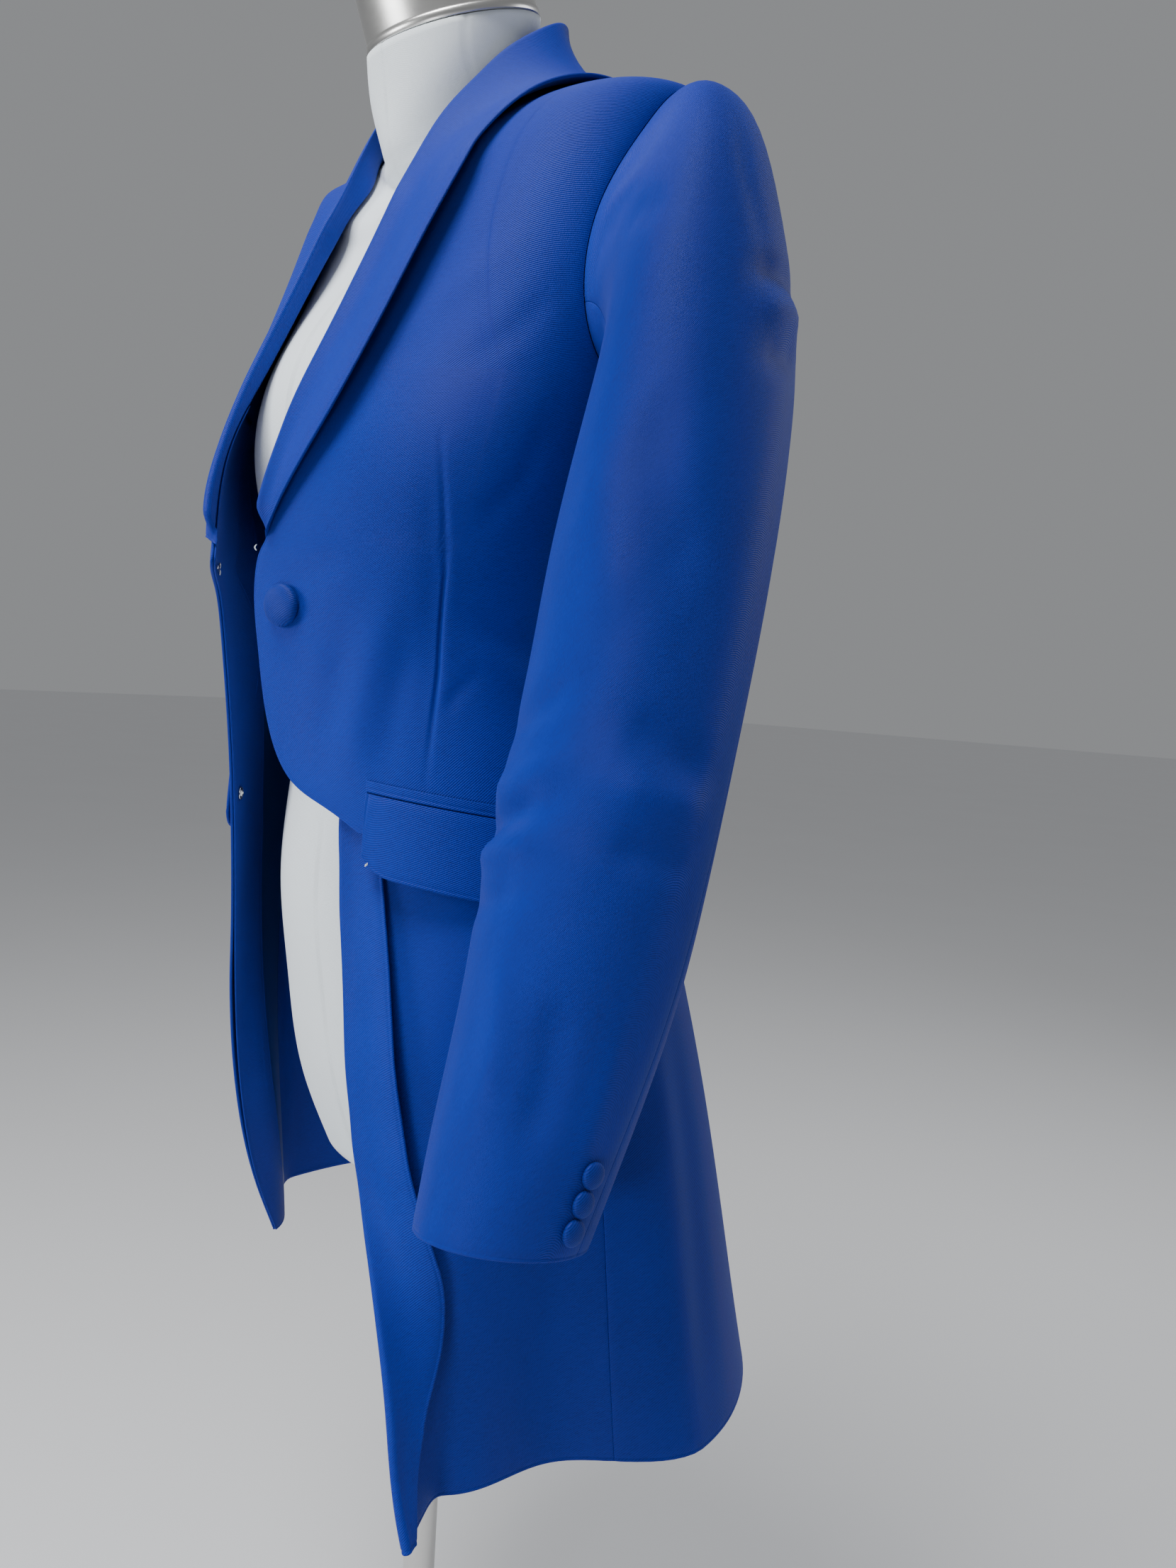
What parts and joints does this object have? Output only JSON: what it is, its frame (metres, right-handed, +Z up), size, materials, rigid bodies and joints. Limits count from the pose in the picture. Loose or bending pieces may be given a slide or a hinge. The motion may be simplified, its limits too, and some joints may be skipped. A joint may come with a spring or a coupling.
{
  "type": "saddle seat coat on a dress form",
  "caption": "Long flared saddle seat coat with shawl collar, flap pockets and cuff buttons, open at the front, on a limbless linen dress form with a round foot.",
  "frame": {"origin": "middle of the stand's round foot, on the floor", "axes": "+Z up; the coat's front faces -Y; the wearer's left is +X"},
  "size_m": [0.5647, 0.3949, 1.5237],
  "materials": {
    "coat_cloth": "fine twill, soft sheen",
    "coat_lining": "smooth lining",
    "coat_buttons": "covered in the coat's cloth",
    "hook_metal": "bright wire",
    "snap_metal": "bright",
    "form_linen": "plain linen, matt",
    "stand_metal": "satin"
  },
  "bodies": {
    "root": {"front_left": "coat_cloth", "front_right": "coat_cloth", "back_left": "coat_cloth", "back_right": "coat_cloth", "skirt_left": "coat_cloth", "band_left": "coat_cloth", "collar_left": "coat_cloth", "collar_right": "coat_cloth", "facing_right": "coat_cloth", "sleeve_top_left": "coat_cloth", "sleeve_top_right": "coat_cloth", "sleeve_under_left": "coat_cloth", "sleeve_under_right": "coat_cloth", "flap_left": "coat_cloth", "flap_right": "coat_cloth", "welt_left": "coat_cloth", "welt_right": "coat_cloth", "lining_right": "coat_lining", "button_front": "coat_buttons", "cuff_button_left_1": "coat_buttons", "cuff_button_left_2": "coat_buttons", "cuff_button_left_3": "coat_buttons", "cuff_button_right_1": "coat_buttons", "cuff_button_right_2": "coat_buttons", "cuff_button_right_3": "coat_buttons", "hook": "hook_metal", "snap": "snap_metal", "form_torso": "form_linen", "neck_cap": "stand_metal", "pole": "stand_metal", "foot": "stand_metal"}
  },
  "joints": []
}
